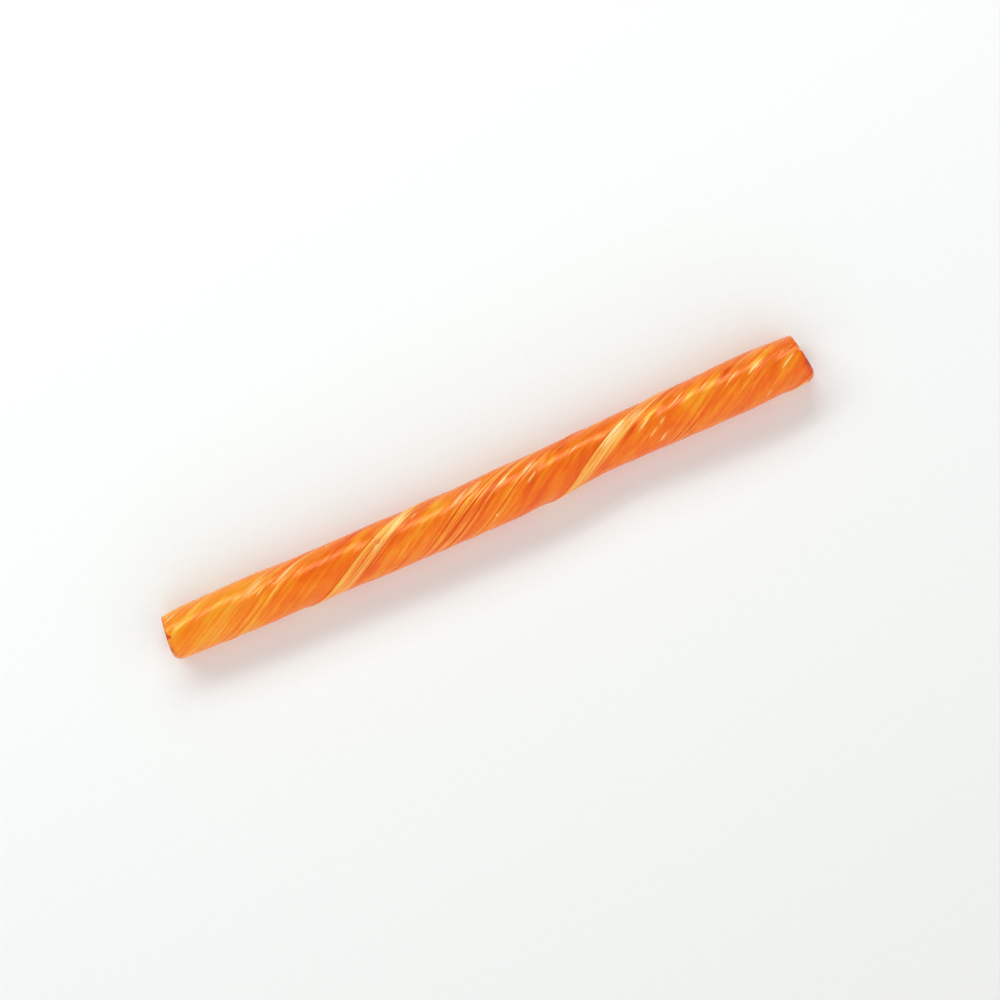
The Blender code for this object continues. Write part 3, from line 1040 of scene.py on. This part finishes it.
def sugar_material(spots):
    g = Graph("orange_sugar")
    noises = dict(fibre_noises(g))
    fact = {name: g.attribute(name) for name in FACT_TONES}
    threads, cut, chip = g.attribute("threads"), g.attribute("cut"), g.attribute("chip")

    def read(readings):
        return g.plus(*(g.spread(noises[name], *reading) for name, reading in readings.items()))

    # Painted light and shade: the fine lines' crests lighter and their hollows darker.
    mottle = g.plus(read(MOTTLE), g.times(g.attribute("ridge"), threads, RIDGE_SHADING_TONE))
    mottle = g.times(mottle, g.spread(fact["band"], *MOTTLE_BY_BAND))
    mottle = g.times(mottle, g.spread(threads, *MOTTLE_BY_THREADS))
    light, dark = read(LIGHT_HAIRS), read(DARK_HAIRS)
    threaded = g.spread(threads, *HAIRS_BY_THREADS)
    hairs = g.times(g.plus(g.times(light, LIGHT_HAIR_TONE), g.times(dark, DARK_HAIR_TONE)), threaded)
    facts = [g.times(fact[name], share) for name, share in FACT_TONES.items()]
    tone = g.plus(mottle, hairs, *facts, g.times(cut, read(SPLINTERS)), BASE_TONE)

    lines, creases = fact["lines"], fact["crease"]
    pale = g.plus(g.times(lines, PEACH_ON_LINES), g.times(light, threaded, PEACH_ON_HAIRS))
    # Less peach in the creases: part of their painted shade.
    peachy = g.plus(g.times(lines, PEACH_BY_LINES), g.times(creases, PEACH_BY_CREASES), PEACH_ON_BAND)
    # Painted cream highlight on the strongest lifted patches, brighter on light lines and broken by dark
    # ones.
    cream_highlight = g.plus(fact["tint_and_painted_light"], g.times(lines, CREAM_BY_LINES))
    colour = g.ramp(tone, SUGAR_COLOURS)
    for share, cover in (
        (g.times(fact["amber"], AMBER_COVER), AMBER),
        (g.clamped(pale), PEACH),
        (g.times(fact["band"], g.clamped(peachy)), PEACH),
        (g.spread(cream_highlight, *CREAM_HIGHLIGHT_BY_TINT), CREAM),
        # The painted glints, laid on in cream.
        (g.times(fact["painted_glint"], CREAM_ON_PAINTED_GLINTS), CREAM),
        (g.times(cut, RED_ON_CUT), CUT_RED),
        (g.times(g.attribute("stain"), RED_ON_STAIN), CUT_RED),
        (g.clamped(g.times(chip, RED_ON_CHIP)), CHIP_RED),
        (g.clamped(g.times(chip, -CREAM_ON_CHIP)), CREAM),
    ):
        colour = g.mix(share, colour, cover)
    seat = g.seat()
    for spot in spots:
        away, radius = g.distance(seat, spot[:3]), spot[3]
        colour = g.mix(g.spread(away, SPOT_CORE * radius, radius, SPOT_COVER, 0.0), colour, CHIP_RED)

    grooved = g.math("MAXIMUM", threaded, LEAST_GROOVED)
    normal = None
    for name, depth in FIBRE_BUMPS.items():
        normal = g.bump(noises[name], depth, grooved, normal)
    normal = g.bump(noises["splinters"], SPLINTER_BUMP, cut, normal)
    g.shade({"Base Color": colour, "Normal": normal, "Coat Normal": normal})
    g.shade({"Roughness": g.spread(threads, *ROUGHNESS_BY_THREADS)})
    g.shade({"Metallic": g.spread(tone, *METALLIC_BY_TONE)})
    g.shade(SUGAR_SHADER)
    return g.material


def clouded(name, cloud, coat=0.0):
    """A plainer surface: a cloud of two colours, with a slight bump."""
    g = Graph(name)
    scale, detail, depth, roughness, colours = cloud
    grain = g.noise(g.seat(), scale, detail)
    g.shade({"Base Color": g.ramp(grain, colours), "Normal": g.bump(grain, depth)})
    g.shade({"Roughness": roughness, "Coat Weight": coat})
    return g.material


# ---------------------------------------------------------------- the view

PHOTO_WIDTH = 1000
PHOTO_MIDDLE = PHOTO_WIDTH / 2
STICK_LEFT_PX = (169.5, 637.5)  # the ends of the stick's axis in the photograph
STICK_RIGHT_PX = (802.0, 357.0)
STICK_AXIS = 127.0 * MM
CAMERA_HEIGHT = 0.8
SENSOR = 36.0
FARTHEST_SEEN = 20.0


def camera(middle):
    across = STICK_RIGHT_PX[0] - STICK_LEFT_PX[0]
    up = STICK_LEFT_PX[1] - STICK_RIGHT_PX[1]
    turn = math.atan2(up, across)
    metre_px = math.hypot(across, up) / STICK_AXIS
    right = Vector((math.cos(turn), -math.sin(turn), 0))
    upward = Vector((math.sin(turn), math.cos(turn), 0))
    off_x = (STICK_LEFT_PX[0] + STICK_RIGHT_PX[0]) / 2 - PHOTO_MIDDLE
    off_y = PHOTO_MIDDLE - (STICK_LEFT_PX[1] + STICK_RIGHT_PX[1]) / 2
    stick = Vector((-middle[0], AXIS_BOW - middle[1], THICKNESS.mean() / 2))
    aim = stick - right * (off_x / metre_px) - upward * (off_y / metre_px)

    data = bpy.data.cameras.new("camera")
    data.sensor_width = SENSOR
    data.lens = SENSOR * CAMERA_HEIGHT * metre_px / PHOTO_WIDTH
    data.clip_end = FARTHEST_SEEN
    eye = bpy.data.objects.new("camera", data)
    bpy.context.scene.collection.objects.link(eye)
    axes = Matrix((right, upward, Vector((0, 0, 1)))).transposed()
    eye.matrix_world = Matrix.Translation(aim + Vector((0, 0, CAMERA_HEIGHT))) @ axes.to_4x4()
    bpy.context.scene.camera = eye


# How bright the studio is. Its strength is read from the height of the direction, between the horizon
# and overhead, and from its Y, between the far side and the near one, and the two are added.
SKY_COLOUR = (1.0, 0.99, 0.98, 1.0)
SKY_READINGS = {"Z": (0.0, 1.0, 0.45, 0.32), "Y": (0.4, -0.9, 0.0, 0.95)}
# Each lamp: push along X, tilt from overhead towards +Y, distance, length and width, power.
LAMPS = {
    "strip": (-0.1, 50.0, 0.7, (0.9, 0.28), 2.8),
    "strip_core": (-0.1, 48.0, 0.7, (0.9, 0.05), 0.8),
}
LAMP_COLOUR = (0.85, 1.0, 0.99)
FLOOR_SIZE = 6.0


def soft_light(name, toward, distance, size, power):
    data = bpy.data.lights.new(name, "AREA")
    data.color = LAMP_COLOUR
    data.shape = "RECTANGLE"
    data.size, data.size_y = size
    data.energy = power
    lamp = bpy.data.objects.new(name, data)
    bpy.context.scene.collection.objects.link(lamp)
    direction = Vector(toward).normalized()
    lamp.location = direction * distance
    lamp.rotation_euler = direction.to_track_quat("Z", "Y").to_euler()


def lights():
    world = bpy.data.worlds.new("studio")
    bpy.context.scene.world = world
    world.use_nodes = True
    tree = world.node_tree
    background = tree.nodes["Background"]
    background.inputs["Color"].default_value = SKY_COLOUR
    toward = tree.nodes.new("ShaderNodeTexCoord").outputs["Generated"]
    parts = tree.nodes.new("ShaderNodeSeparateXYZ")
    tree.links.new(toward, parts.inputs[0])
    strength = tree.nodes.new("ShaderNodeMath")
    for term, (axis, reading) in zip(strength.inputs, SKY_READINGS.items()):
        share = tree.nodes.new("ShaderNodeMapRange")
        tree.links.new(parts.outputs[axis], share.inputs[0])
        for socket, value in zip(share.inputs[1:5], reading):
            socket.default_value = value
        tree.links.new(share.outputs[0], term)
    tree.links.new(strength.outputs[0], background.inputs["Strength"])
    for name, (push, tilt, distance, size, power) in LAMPS.items():
        tilt = math.radians(tilt)
        soft_light(name, (push, math.sin(tilt), math.cos(tilt)), distance, size, power)


def floor():
    bpy.ops.mesh.primitive_plane_add(size=FLOOR_SIZE)
    ground = bpy.context.object
    ground.name = "floor"
    ground.data.materials.append(clouded("pale_floor", FLOOR_CLOUD))


def add_piece(mesh):
    piece = bpy.data.objects.new(mesh.name, mesh)
    bpy.context.scene.collection.objects.link(piece)
    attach(piece, "root")
    return piece


def main():
    mesh, points, middle = sugar_mesh()
    mesh.materials.append(sugar_material([spot_on(points, middle, spot) for spot in RED_SPOTS]))
    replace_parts(add_piece(mesh), "candy_stick")
    add_piece(grains_mesh(points, middle))
    add_piece(bubbles_mesh(points, middle))
    floor()
    lights()
    camera(middle)
    view = bpy.context.scene.view_settings
    view.view_transform = "Standard"


main()
bpy.context.view_layer.update()
